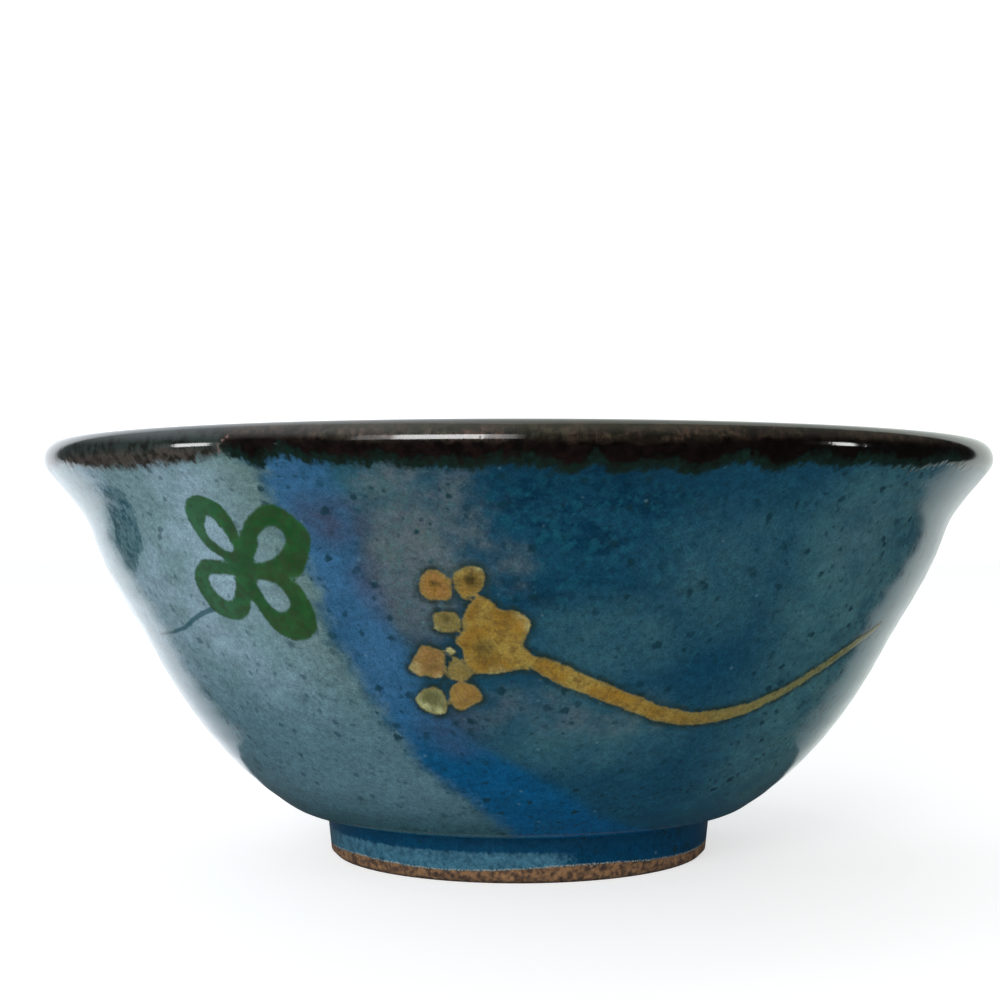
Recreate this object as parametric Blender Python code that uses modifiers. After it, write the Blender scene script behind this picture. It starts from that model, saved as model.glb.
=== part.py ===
"""A thrown stoneware serving bowl, turned about +Z and standing on its foot ring at z = 0.

Everything is in metres. The bowl is one solid: a rolled lip, a flared waist, a nearly straight
wall, a round belly that turns in over the foot, a turned foot ring with a shallow recess, and a
hollow inside.
"""

import math

import bpy
from mathutils import Vector

BOWL_NAME = "bowl"

# Outside sizes
RIM_RADIUS = 0.1000
BOWL_HEIGHT = 0.0870
LIP_ROUNDING = 0.0035
FLARE_REACH = 0.0096
FLARE_DROP = 0.0187
BELLY_RADIUS = 0.0779
BELLY_HEIGHT = 0.0441
HAUNCH_RADIUS = 0.0498
HAUNCH_HEIGHT = 0.0113

# Foot sizes
FOOT_RADIUS = 0.0414
FOOT_HEIGHT = 0.0094
FOOT_TAPER = 0.0008
FOOT_BEVEL = 0.0009
FOOT_LAND = 0.0052
RECESS_BEVEL = 0.0006
RECESS_DEPTH = 0.0055
RECESS_TAPER = 0.0008
RECESS_FILLET = 0.0012
NECK_FILLET = 0.0012

# Wall sizes
WALL_THICKNESS = 0.0049
BELLY_THICKNESS = 0.0060
FLOOR_THICKNESS = 0.0075
WELL_RADIUS = 0.0400
WELL_RISE = 0.0043

# Slopes of the wall, up from the horizontal
NECK_ANGLE = math.radians(5)
HAUNCH_ANGLE = math.radians(32.6)
BELLY_ANGLE = math.radians(62.5)
WAIST_ANGLE = math.radians(73)
FLARE_ANGLE = math.radians(55)
WELL_ANGLE = math.radians(18)

# Facets
TURN_STEPS = 88
LIP_STEPS = 3
FLARE_STEPS = 5
WALL_STEPS = 4
BELLY_STEPS = 7
HAUNCH_STEPS = 2
CORNER_STEPS = 2
INSIDE_STEPS = 5
WELL_STEPS = 3
MERGE_DISTANCE = 0.00001
SHARP_ANGLE = math.radians(40)

GLAZE_COLOUR = (0.060, 0.150, 0.215, 1.0)
GLAZE_ROUGHNESS = 0.25


def clear_scene():
    for obj in list(bpy.data.objects):
        bpy.data.objects.remove(obj, do_unlink=True)


def direction(angle):
    """The unit vector at this angle in the profile's plane, which is (radius, height)."""
    return Vector((math.cos(angle), math.sin(angle)))


def arc(centre, radius, start, end, steps):
    angles = [start + (end - start) * i / steps for i in range(steps + 1)]
    return [centre + direction(angle) * radius for angle in angles]


def fair_curve(start, start_angle, end, end_angle, steps):
    """A smooth curve that leaves start and reaches end at the given angles."""
    reach = (end - start).length
    leave = direction(start_angle) * reach
    arrive = direction(end_angle) * reach
    points = []
    for i in range(steps + 1):
        t = i / steps
        ease = t * t * (3 - 2 * t)
        points.append(
            start * (1 - ease)
            + end * ease
            + leave * (t * (1 - t) ** 2)
            - arrive * (t * t * (1 - t))
        )
    return points


def inward(point, angle, distance):
    """The point this far inside a wall that rises at this angle."""
    return point + direction(angle + math.pi / 2) * distance


def lip():
    """The rolled lip, from its inner side over the top and round to its underside."""
    centre = Vector((RIM_RADIUS - LIP_ROUNDING, BOWL_HEIGHT - LIP_ROUNDING))
    inner_side = math.pi / 2 + FLARE_ANGLE
    underside = FLARE_ANGLE - math.pi / 2
    # The arcs meet right at the top and at the widest place, so that both sizes are true.
    points = arc(centre, LIP_ROUNDING, inner_side, math.pi / 2, LIP_STEPS)
    points += arc(centre, LIP_ROUNDING, math.pi / 2, 0, LIP_STEPS + 1)[1:]
    points += arc(centre, LIP_ROUNDING, 0, underside, LIP_STEPS - 1)[1:]
    return points


def neck():
    """The small hollow where the foot ring meets the bowl, from the foot outwards."""
    centre = Vector((FOOT_RADIUS + NECK_FILLET, FOOT_HEIGHT - NECK_FILLET))
    return arc(centre, NECK_FILLET, math.pi, math.pi / 2 + NECK_ANGLE, CORNER_STEPS)


def haunch_place():
    return Vector((HAUNCH_RADIUS, HAUNCH_HEIGHT))


def belly_place():
    return Vector((BELLY_RADIUS, BELLY_HEIGHT))


def waist_place():
    return Vector((RIM_RADIUS - FLARE_REACH, BOWL_HEIGHT - FLARE_DROP))


def outer_wall():
    """The outside of the wall, from the neck up to the lip's underside."""
    under_lip = lip()[-1]
    points = fair_curve(neck()[-1], NECK_ANGLE, haunch_place(), HAUNCH_ANGLE, HAUNCH_STEPS)
    points += fair_curve(haunch_place(), HAUNCH_ANGLE, belly_place(), BELLY_ANGLE, BELLY_STEPS)[1:]
    points += fair_curve(belly_place(), BELLY_ANGLE, waist_place(), WAIST_ANGLE, WALL_STEPS)[1:]
    points += fair_curve(waist_place(), WAIST_ANGLE, under_lip, FLARE_ANGLE, FLARE_STEPS)[1:]
    return points


def inner_wall():
    """The inside, from the middle of the floor up to the lip's inner side."""
    floor_height = RECESS_DEPTH + FLOOR_THICKNESS
    middle = Vector((0, floor_height))
    well = Vector((WELL_RADIUS, floor_height + WELL_RISE))
    belly = inward(belly_place(), BELLY_ANGLE, BELLY_THICKNESS)
    waist = inward(waist_place(), WAIST_ANGLE, WALL_THICKNESS)
    points = fair_curve(middle, 0, well, WELL_ANGLE, WELL_STEPS)
    points += fair_curve(well, WELL_ANGLE, belly, BELLY_ANGLE, INSIDE_STEPS)[1:]
    points += fair_curve(belly, BELLY_ANGLE, waist, WAIST_ANGLE, WALL_STEPS - 1)[1:]
    points += fair_curve(waist, WAIST_ANGLE, lip()[0], FLARE_ANGLE, FLARE_STEPS - 1)[1:]
    return points


def foot():
    """The foot ring and its recess, from the neck down and in to the middle."""
    side = FOOT_RADIUS - FOOT_TAPER
    land_outer = side - FOOT_BEVEL
    land_inner = land_outer - FOOT_LAND
    recess_mouth = land_inner - RECESS_BEVEL
    recess_corner = recess_mouth - RECESS_TAPER
    fillet_centre = Vector((recess_corner - RECESS_FILLET, RECESS_DEPTH - RECESS_FILLET))
    points = list(reversed(neck()))
    points += [
        Vector((side, FOOT_BEVEL)),
        Vector((land_outer, 0)),
        Vector((land_inner, 0)),
        Vector((recess_mouth, RECESS_BEVEL)),
    ]
    points += arc(fillet_centre, RECESS_FILLET, 0, math.pi / 2, CORNER_STEPS)
    points.append(Vector((0, RECESS_DEPTH)))
    return points


def bowl_profile():
    """The closed section: up the inside, over the lip, down the outside and under the foot."""
    down_the_outside = list(reversed(outer_wall()))
    return inner_wall() + lip()[1:] + down_the_outside[1:] + foot()[1:]


def turned(name, profile, collection):
    """The solid that this profile makes in one turn about +Z."""
    mesh = bpy.data.meshes.new(name + "_profile")
    verts = [(point.x, 0.0, point.y) for point in profile]
    edges = [(i, i + 1) for i in range(len(verts) - 1)]
    mesh.from_pydata(verts, edges, [])
    obj = bpy.data.objects.new(name, mesh)
    collection.objects.link(obj)
    screw = obj.modifiers.new("turn", "SCREW")
    screw.axis = "Z"
    screw.angle = 2 * math.pi
    screw.steps = TURN_STEPS
    screw.render_steps = TURN_STEPS
    screw.use_merge_vertices = True
    screw.merge_threshold = MERGE_DISTANCE
    graph = bpy.context.evaluated_depsgraph_get()
    solid = bpy.data.meshes.new_from_object(obj.evaluated_get(graph))
    solid.name = name
    obj.modifiers.clear()
    obj.data = solid
    bpy.data.meshes.remove(mesh)
    return obj


def glaze():
    material = bpy.data.materials.new("blue_glaze")
    material.use_nodes = True
    shader = material.node_tree.nodes["Principled BSDF"]
    shader.inputs["Base Color"].default_value = GLAZE_COLOUR
    shader.inputs["Roughness"].default_value = GLAZE_ROUGHNESS
    shader.inputs["Metallic"].default_value = 0.0
    return material


def main():
    clear_scene()
    collection = bpy.data.collections.new("serving_bowl")
    bpy.context.scene.collection.children.link(collection)
    bowl = turned(BOWL_NAME, bowl_profile(), collection)
    bowl.data.materials.append(glaze())
    bowl.data.shade_smooth()
    bowl.data.set_sharp_from_angle(angle=SHARP_ANGLE)


main()
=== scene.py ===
"""Looks for the serving bowl: its thrown surface, dipped glazes, brushed flowers and a small studio.

Lengths of the bowl and of everything painted on it are in millimetres until the mesh is made.
A place on the outside is (angle, climb): degrees round from the front, to the right, and
millimetres along the wall from the belly, upward.
"""

import math

import bpy
import numpy as np
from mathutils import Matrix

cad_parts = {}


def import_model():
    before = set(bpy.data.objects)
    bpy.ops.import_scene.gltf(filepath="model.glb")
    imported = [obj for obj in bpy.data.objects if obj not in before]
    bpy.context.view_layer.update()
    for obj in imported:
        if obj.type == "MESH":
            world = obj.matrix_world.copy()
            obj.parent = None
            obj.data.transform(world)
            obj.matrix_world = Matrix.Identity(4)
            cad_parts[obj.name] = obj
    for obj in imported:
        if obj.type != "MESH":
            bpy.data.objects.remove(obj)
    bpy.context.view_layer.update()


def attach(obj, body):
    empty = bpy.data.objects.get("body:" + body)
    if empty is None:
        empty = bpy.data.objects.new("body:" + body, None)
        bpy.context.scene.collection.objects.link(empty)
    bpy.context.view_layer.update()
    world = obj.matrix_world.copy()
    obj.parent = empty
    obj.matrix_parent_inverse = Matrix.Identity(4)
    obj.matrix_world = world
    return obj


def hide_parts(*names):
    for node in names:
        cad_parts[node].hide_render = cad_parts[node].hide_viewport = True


MM = 0.001

# The bowl's own sizes, the same as the solid's
RIM_RADIUS = 100.0
BOWL_HEIGHT = 87.0
LIP_ROUNDING = 3.5
FLARE_REACH = 9.6
FLARE_DROP = 18.7
BELLY_RADIUS = 77.9
BELLY_HEIGHT = 44.1
HAUNCH_RADIUS = 49.8
HAUNCH_HEIGHT = 11.3
FOOT_RADIUS = 41.4
FOOT_HEIGHT = 9.4
FOOT_TAPER = 0.8
FOOT_BEVEL = 0.9
FOOT_LAND = 5.2
RECESS_BEVEL = 0.6
RECESS_DEPTH = 5.5
RECESS_TAPER = 0.8
RECESS_FILLET = 1.2
NECK_FILLET = 1.2
WALL_THICKNESS = 4.9
BELLY_THICKNESS = 6.0
FLOOR_THICKNESS = 7.5
WELL_RADIUS = 40.0
WELL_RISE = 4.3
NECK_ANGLE = math.radians(5)
HAUNCH_ANGLE = math.radians(32.6)
BELLY_ANGLE = math.radians(62.5)
WAIST_ANGLE = math.radians(73)
FLARE_ANGLE = math.radians(55)
WELL_ANGLE = math.radians(18)

# Fineness of the mesh
FRONT_HALF_ANGLE = 76.0
FRONT_COLUMNS = 270
BACK_COLUMNS = 170
ROW_SPACING = 0.92
LIP_STEPS = 5
CORNER_STEPS = 4
FOOT_STEPS = 10
FLOOR_THINNING = 3
INSIDE_THINNING = 2
RECESS_ROWS = (26.0, 20.0, 12.0, 5.0, 0.0)

# Throwing marks, always inward from the solid
RING_SPACING = 5.6
RING_DEPTH = 0.05
WOBBLE_DEPTH = 0.10
WOBBLE_LENGTH = 23.0

# The photograph's camera, in millimetres and pixels
FRAME_PIXELS = 1000.0
SENSOR = 36.0
FOCAL_PIXELS = 1703.5
CAMERA_DISTANCE = 372.5
CAMERA_HEIGHT = 68.15
AXIS_PIXEL = 518.5
HORIZON_PIXEL = 534.7
CLIP_START = 10.0


def direction(angle):
    return np.array((math.cos(angle), math.sin(angle)))


def arc(centre, radius, start, end, steps):
    return [centre + direction(start + (end - start) * i / steps) * radius for i in range(steps + 1)]


def fair_curve(start, start_angle, end, end_angle):
    """A smooth curve that leaves start and reaches end at the given angles."""
    reach = float(np.hypot(*(end - start)))
    steps = max(3, round(reach / ROW_SPACING))
    leave = direction(start_angle) * reach
    arrive = direction(end_angle) * reach
    points = []
    for i in range(steps + 1):
        t = i / steps
        ease = t * t * (3 - 2 * t)
        bend = leave * (t * (1 - t) ** 2) - arrive * (t * t * (1 - t))
        points.append(start * (1 - ease) + end * ease + bend)
    return points


def inward(point, angle, distance):
    return point + direction(angle + math.pi / 2) * distance


def thinned(points, step):
    """Every step-th point, with the last one kept."""
    return points[:-1][::step] + [points[-1]]


def chain(stations, step=1):
    """Fair curves that join these (point, angle) stations, thinned to every step-th point."""
    points = [stations[0][0]]
    for (start, start_angle), (end, end_angle) in zip(stations, stations[1:]):
        points += thinned(fair_curve(start, start_angle, end, end_angle), step)[1:]
    return points


def profile():
    """The section as points with the row numbers where its parts begin."""
    lip_centre = np.array((RIM_RADIUS - LIP_ROUNDING, BOWL_HEIGHT - LIP_ROUNDING))
    lip = arc(lip_centre, LIP_ROUNDING, math.pi / 2 + FLARE_ANGLE, math.pi / 2, LIP_STEPS)
    lip += arc(lip_centre, LIP_ROUNDING, math.pi / 2, 0, 2 * LIP_STEPS)[1:]
    lip += arc(lip_centre, LIP_ROUNDING, 0, FLARE_ANGLE - math.pi / 2, LIP_STEPS)[1:]
    neck_centre = np.array((FOOT_RADIUS + NECK_FILLET, FOOT_HEIGHT - NECK_FILLET))
    neck = arc(neck_centre, NECK_FILLET, math.pi, math.pi / 2 + NECK_ANGLE, CORNER_STEPS)
    haunch = np.array((HAUNCH_RADIUS, HAUNCH_HEIGHT))
    belly = np.array((BELLY_RADIUS, BELLY_HEIGHT))
    waist = np.array((RIM_RADIUS - FLARE_REACH, BOWL_HEIGHT - FLARE_DROP))
    outer = chain([
        (neck[-1], NECK_ANGLE),
        (haunch, HAUNCH_ANGLE),
        (belly, BELLY_ANGLE),
        (waist, WAIST_ANGLE),
        (lip[-1], FLARE_ANGLE),
    ])
    floor_height = RECESS_DEPTH + FLOOR_THICKNESS
    middle = np.array((0.0, floor_height))
    well = np.array((WELL_RADIUS, floor_height + WELL_RISE))
    inner_wall = [
        (well, WELL_ANGLE),
        (inward(belly, BELLY_ANGLE, BELLY_THICKNESS), BELLY_ANGLE),
        (inward(waist, WAIST_ANGLE, WALL_THICKNESS), WAIST_ANGLE),
        (lip[0], FLARE_ANGLE),
    ]
    inner = chain([(middle, 0), (well, WELL_ANGLE)], FLOOR_THINNING)
    inner += chain(inner_wall, INSIDE_THINNING)[1:]
    side = FOOT_RADIUS - FOOT_TAPER
    land_outer = side - FOOT_BEVEL
    land_inner = land_outer - FOOT_LAND
    recess_mouth = land_inner - RECESS_BEVEL
    corner = recess_mouth - RECESS_TAPER
    fillet_centre = np.array((corner - RECESS_FILLET, RECESS_DEPTH - RECESS_FILLET))
    foot_top = neck[0]
    foot_low = np.array((side, FOOT_BEVEL))
    foot = [foot_top + (foot_low - foot_top) * i / FOOT_STEPS for i in range(FOOT_STEPS + 1)]
    foot += [np.array((land_outer, 0.0))]
    under = [np.array((land_inner, 0.0)), np.array((recess_mouth, RECESS_BEVEL))]
    under += arc(fillet_centre, RECESS_FILLET, 0, math.pi / 2, CORNER_STEPS - 1)
    under += [np.array((radius, RECESS_DEPTH)) for radius in RECESS_ROWS]
    outside = list(reversed(outer))[1:] + list(reversed(neck))[1:] + foot[1:]
    points = inner + lip[1:] + outside + under
    lip_row = len(inner) - 1
    under_row = lip_row + len(lip) - 1 + len(outside)
    return np.array(points), lip_row, under_row


def columns():
    """The angles of the mesh's columns, closer together on the flower side."""
    front = np.linspace(-FRONT_HALF_ANGLE, FRONT_HALF_ANGLE, FRONT_COLUMNS, endpoint=False)
    back = np.linspace(FRONT_HALF_ANGLE, 360 - FRONT_HALF_ANGLE, BACK_COLUMNS, endpoint=False)
    return np.concatenate([front, back])


def half_turn(angle):
    """The same angle between -180 and 180 degrees."""
    return (angle + 180) % 360 - 180


def smooth(low, high, value):
    t = np.clip((value - low) / (high - low), 0, 1)
    return t * t * (3 - 2 * t)


class Wall:
    """The bowl's mesh as a grid, and the places on it."""

    def __init__(self):
        self.points, self.lip_row, self.under_row = profile()
        steps = np.hypot(*np.diff(self.points, axis=0).T)
        length = np.concatenate([[0.0], np.cumsum(steps)])
        belly_row = np.argmin(np.hypot(*(self.points - (BELLY_RADIUS, BELLY_HEIGHT)).T))
        self.length = length
        self.climb = (length[belly_row] - length)[:, None]
        self.angle = half_turn(columns())[None, :]
        self.radius = self.points[:, 0][:, None]
        self.height = self.points[:, 1][:, None]
        self.outside = (np.arange(len(self.points)) >= self.lip_row)[:, None] * 1.0

    def radius_at(self, climb):
        return np.interp(climb, self.climb[::-1, 0], self.points[::-1, 0])

    def local(self, place):
        """Millimetres right of and above this place, measured along the wall."""
        angle, climb = place
        across = half_turn(self.angle - angle)
        return np.radians(across) * self.radius_at(climb), self.climb - climb

    def everywhere(self, value):
        return value + np.zeros((len(self.points), self.angle.shape[1]))


# How fine a loop is, how far round it distances are true, and how far out a stroke ends
LOOP_STEPS = 5
LOOP_REACH = 26.0
STROKE_END = 4.0


def loop(knots, x, y):
    """The distance in millimetres inside a smooth closed loop through these places."""
    knots = np.array(knots)
    count = len(knots)
    ring = []
    for i in range(count):
        a, b, c, d = (knots[(i + k) % count] for k in (-1, 0, 1, 2))
        for step in range(LOOP_STEPS):
            t = step / LOOP_STEPS
            bend = (2 * a - 5 * b + 4 * c - d) * t**2 + (3 * b - a - 3 * c + d) * t**3
            ring.append(b + 0.5 * ((c - a) * t + bend))
    near = np.ix_(np.abs(y[:, 0]) < LOOP_REACH, np.abs(x[0]) < LOOP_REACH)
    whole = np.full((y.shape[0], x.shape[1]), -LOOP_REACH)
    x = (x + 0 * y)[near]
    y = (y + 0 * whole)[near]
    distance = np.full(x.shape, LOOP_REACH)
    inside = np.zeros(x.shape, dtype=bool)
    for start, end in zip(ring, ring[1:] + ring[:1]):
        edge = end - start
        t = np.clip(((x - start[0]) * edge[0] + (y - start[1]) * edge[1]) / (edge @ edge), 0, 1)
        distance = np.minimum(distance, np.hypot(x - start[0] - edge[0] * t, y - start[1] - edge[1] * t))
        if edge[1]:
            crosses = (start[1] <= y) != (end[1] <= y)
            inside ^= crosses & (x < start[0] + (y - start[1]) / edge[1] * edge[0])
    whole[near] = np.where(inside, distance, -distance)
    return whole


def joined(a, b, softness):
    """The union of two inside distances, with a soft join."""
    h = np.clip(0.5 + 0.5 * (a - b) / softness, 0, 1)
    return b * (1 - h) + a * h + softness * h * (1 - h)


def long_stroke(wall, path):
    """Millimetres above the middle of a level brush stroke, and its half width, from left to right."""
    angles, climbs, halves = (np.array(values) for values in zip(*sorted(path)))
    middle = np.interp(wall.angle, angles, climbs)
    across = np.radians(np.gradient(wall.angle[0])) * wall.radius_at(middle[0])
    slope = np.gradient(middle[0]) / across
    side = (wall.climb - middle) / np.sqrt(1 + slope**2)
    half = np.interp(wall.angle, angles, halves, left=-STROKE_END, right=-STROKE_END)
    return np.clip(side, -LOOP_REACH, LOOP_REACH), half


def brushed(wall, path):
    """How far inside a brush stroke: the path holds (angle, climb, half width)."""
    best = wall.everywhere(-LOOP_REACH)
    for start, end in zip(path[:-1], path[1:]):
        x, y = wall.local(start[:2])
        dx = math.radians(end[0] - start[0]) * wall.radius_at(start[1])
        dy = end[1] - start[1]
        t = np.clip((x * dx + y * dy) / (dx * dx + dy * dy), 0, 1)
        half = start[2] + (end[2] - start[2]) * t
        best = np.maximum(best, half - np.hypot(x - dx * t, y - dy * t))
    return best


# The four-petalled leaf: its place, then each petal and each bare eye as a loop round it
CLOVER_PLACE = (-33.6, 20)
CLOVER_PETALS = (
    ((1.5, 5.5), (0.7, 10.8), (-1.5, 14), (-5, 15.1), (-8.6, 13.3), (-9.6, 10), (-7.6, 5.6), (-4, 3),
     (0, 0.5)),
    ((1, 1), (1.8, 6.8), (4.4, 10.3), (9.6, 13.1), (13.4, 10.9), (16.1, 7), (14.9, 3), (12.3, -0.6),
     (6, -1)),
    ((-1, 1.6), (-5.2, 2.3), (-9.5, 2.2), (-12.8, -0.4), (-13.5, -4.2), (-11.6, -8.4), (-7, -10.1),
     (-3, -9), (-0.4, -5.6), (1, -1)),
    ((0.2, -5.4), (1, -9), (3.2, -12.5), (7.5, -14), (11.8, -12.2), (13.2, -8.6), (12.6, -5),
     (10.9, -1.6), (6, 0.5), (1, 0)),
)
CLOVER_EYES = (
    ((-4, 11.4), (-2.5, 9.6), (-0.9, 7), (0, 4.4), (-1.6, 3.7), (-5.2, 5.8), (-6.5, 8), (-5.4, 10.4)),
    ((9.2, 9), (11.2, 7.8), (11.1, 5.2), (8, 2.4), (4.4, 1.6), (3, 2.2), (4.7, 4.8), (5.8, 7.6)),
    ((-9, -0.5), (-4.6, -0.2), (-1.8, -0.5), (-3, -3.6), (-5.3, -6.1), (-8, -5.7), (-9.7, -2.8)),
    ((2.5, -1.3), (6, -1.4), (8.2, -3.4), (8.8, -6.4), (6.4, -8.2), (4, -7.5), (2.4, -3.8)),
)
CLOVER_HEART = (
    (0.6, 6.5), (3.2, 5.5), (2.6, 1), (1.9, -2), (1.6, -5.6), (-0.4, -5.6), (-2.2, -3), (-1.2, -0.2),
    (-2, 2.6), (0.4, 3.8),
)
CLOVER_JOIN = 0.6
CLOVER_EYE_INSET = 0.35
CLOVER_STEM = (
    (-40.8, 12.4, 0.6), (-44.2, 11, 0.5), (-46.8, 9.6, 0.45), (-50.1, 7.6, 0.42), (-55.2, 6, 0.36),
    (-61, 5.2, 0.25),
)


def clover(wall):
    x, y = wall.local(CLOVER_PLACE)
    paint = wall.everywhere(-LOOP_REACH)
    for petal in (*CLOVER_PETALS, CLOVER_HEART):
        paint = joined(paint, loop(petal, x, y), CLOVER_JOIN)
    for eye in CLOVER_EYES:
        paint = np.minimum(paint, CLOVER_EYE_INSET - loop(eye, x, y))
    return paint


# The gold spray: its flower head, the buds round it, their dark cores and pale edges, and its long stem
SPRAY_PLACE = (-3, 8)
SPRAY_HEAD = (
    (-2.2, 7.8), (0.3, 6.5), (1.2, 5.2), (4, 4.8), (6.3, 2.6), (5.7, 0), (5, -2.2), (6, -4.8),
    (6.4, -7), (4.2, -7.1), (0.5, -7.9), (-3.6, -7.9), (-5.2, -6.2), (-5.6, -3.2), (-6.6, -1.2),
    (-5.1, 1), (-4.7, 4.4),
)
# Each bud: how olive it is, how red, and its loop
SPRAY_BUDS = (
    (0, 0.6, ((-9.2, 12.8), (-7.3, 12), (-6.4, 10), (-6.8, 7.4), (-8.6, 6.9), (-11.2, 7.5),
              (-11.6, 9.8), (-10.9, 11.8))),
    (0.15, 0, ((-3.4, 13.4), (-1.7, 13.2), (-1, 11.3), (-1.9, 8.8), (-4.8, 7.3), (-5.6, 9.4),
               (-6, 11.8), (-4.8, 12.9))),
    (0.55, 0, ((-8.2, 4.7), (-6.2, 4.3), (-5.4, 2.8), (-5.9, 1.2), (-7.6, 0.6), (-9.8, 0.9),
               (-10.2, 2.4), (-9.8, 4))),
    (0.1, 0.8, ((-12.3, -2.2), (-10.6, -3), (-8.9, -3.8), (-9.2, -6.4), (-10, -9), (-12.6, -8.6),
                (-14.4, -8.6), (-15.8, -7), (-14.6, -5), (-13.4, -3.2))),
    (0.5, 0.1, ((-7.2, -4.8), (-6, -5.4), (-4.2, -7.6), (-4.8, -9), (-6.8, -9.5), (-8.4, -9),
                (-8.6, -7.4))),
    (0.1, 0.4, ((-7, -9.8), (-4.6, -10.2), (-3.2, -11.4), (-2.5, -13.2), (-4.4, -14.6), (-6.8, -15.8),
                (-8.5, -14.6), (-8.8, -12))),
    (1, 0, ((-13.4, -11.4), (-11, -11), (-9.8, -12.6), (-9.6, -15.6), (-11.6, -16.9), (-14.2, -15.8),
            (-15.6, -13.6))),
)
# Round spots on the gold as x, y, radius, strength
SPRAY_CORES = (
    (-9.2, 10.2, 0.9, 1), (-3.2, 10.9, 1.25, 1.1), (-7.7, 3.2, 1, 0.7), (-1.8, -3, 2.6, 0.6),
    (-1, -5, 2.6, 0.35), (-11.6, -6.4, 1.8, 0.3), (-12.6, -13.4, 2, 0.5), (2.6, 3, 1.6, 0.25),
)
SPRAY_PALE = (
    (-14, -15, 1.3, 1), (-11.2, -16.2, 1.2, 0.9), (-15, -13, 0.9, 0.7), (-1.9, 13, 0.9, 0.6),
    (6, 2, 1.2, 0.6), (4.6, 4.2, 1.2, 0.4), (-10.2, -8.8, 0.7, 0.8), (-15, -7, 1.6, 0.5),
    (-9.8, 1.2, 0.8, 0.6), (0.5, -7.7, 1.6, 0.4),
)
SPRAY_GLINT = (-7.8, -3.4, 0.8)
SPRAY_STEM = (
    (0.2, 4.2, 1.4), (1.7, 2.4, 1.1), (3.4, 1.2, 1.7), (5.2, 0, 2), (8, -1.9, 1.75), (11.5, -4.1, 1.65),
    (15, -6.2, 1.65), (19.9, -9, 1.6), (24.9, -10.6, 1.5), (30, -10.3, 1.4), (34.9, -8.9, 1.15),
    (39.9, -6.3, 1), (44.9, -2.8, 0.9), (49.9, 0.9, 0.9), (54.6, 4.2, 0.8), (60, 7.7, 0.5),
)


def round_spots(spots, x, y):
    """Soft round spots, each as x, y, radius and strength."""
    total = 0.0
    for spot_x, spot_y, radius, strength in spots:
        distance = np.hypot(x - spot_x, y - spot_y)
        total = np.maximum(total, strength * smooth(radius * 1.3, radius * 0.4, distance))
    return total


def spray(wall):
    """The gold paint, and how dark, olive, red and pale it is; the pale part includes the glint, a
    painted highlight.
    """
    x, y = wall.local(SPRAY_PLACE)
    gold = loop(SPRAY_HEAD, x, y)
    olive = smooth(14, 46, wall.everywhere(wall.angle)) * 0.95
    red = wall.everywhere(0.0)
    for olive_bud, red_bud, knots in SPRAY_BUDS:
        bud = loop(knots, x, y)
        gold = np.maximum(gold, bud)
        olive = np.maximum(olive, smooth(-0.6, 0.4, bud) * olive_bud)
        red = np.maximum(red, smooth(-0.6, 0.4, bud) * red_bud)
    # The glint: a painted highlight, a pale round spot on the gold
    glint_x, glint_y, glint_radius = SPRAY_GLINT
    glint = glint_radius - np.hypot(x - glint_x, y - glint_y)
    gold = np.maximum(gold, glint)
    pale = np.maximum(round_spots(SPRAY_PALE, x, y), smooth(-0.5, 0.3, glint))
    core = round_spots(SPRAY_CORES, x, y)
    return gold, {"core": core, "olive": olive, "red": red, "pale": pale}


def edge_at(wall, path):
    """The angle of an edge that runs up the wall through these (angle, climb) places."""
    angles, climbs = zip(*sorted(path, key=lambda place: place[1]))
    return np.interp(wall.climb, climbs, angles)


# Where the pale dip ends on the flower side, and the outer edge of the cobalt run beside it
PALE_EDGE = (
    (-28.5, 43), (-26.5, 40.4), (-27, 33.8), (-26, 28), (-24.7, 20.8), (-23.6, 6.6), (-22.2, -0.2),
    (-20.4, -6.9), (-15.6, -21.9), (-9.5, -30.7), (-3.9, -41.5), (2, -52),
)
RUN_EDGE = (
    (-19, 42), (-18.4, 36), (-17.8, 29.8), (-17.5, 20.7), (-16.1, 14.9), (-13.8, 2.6), (-11.7, -6.5),
    (-7, -14.5), (-1.3, -19.9), (7, -27.6), (15.5, -36.5), (27, -43), (52, -52),
)
BACK_EDGE_ANGLE = 168.0
BACK_EDGE_SWAY = 5.0
BACK_EDGE_WAVE = 17.0
LEAST_DIP_RADIUS = 20.0
BACK_RUN_STRENGTH = 0.7


def past_back_edge(wall):
    """Degrees past the edge that the pale dip has at the back."""
    edge = BACK_EDGE_ANGLE + BACK_EDGE_SWAY * np.sin(wall.climb / BACK_EDGE_WAVE)
    return half_turn(wall.angle - edge)


def pale_dip(wall):
    """Millimetres inside the pale dip, which goes round the left from the flower side to the back."""
    front = half_turn(edge_at(wall, PALE_EDGE) - wall.angle)
    back = past_back_edge(wall)
    near = np.where(np.abs(front) < np.abs(back), front, back)
    return near * np.radians(1) * np.maximum(wall.radius, LEAST_DIP_RADIUS)


def cobalt_run(wall):
    """How strong the cobalt is in the run along the pale dip's edge, and at the back edge."""
    left = edge_at(wall, PALE_EDGE)
    right = edge_at(wall, RUN_EDGE)
    fade = 1.2 + 2.4 * smooth(-5, -40, wall.climb)
    strength = smooth(left - 1.0, left + 1.5, wall.angle) * smooth(right + fade, right - fade, wall.angle)
    gap = past_back_edge(wall)
    back = smooth(-9.0, -5.0, gap) * smooth(1.0, -1.5, gap)
    return np.maximum(strength, BACK_RUN_STRENGTH * back)


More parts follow.
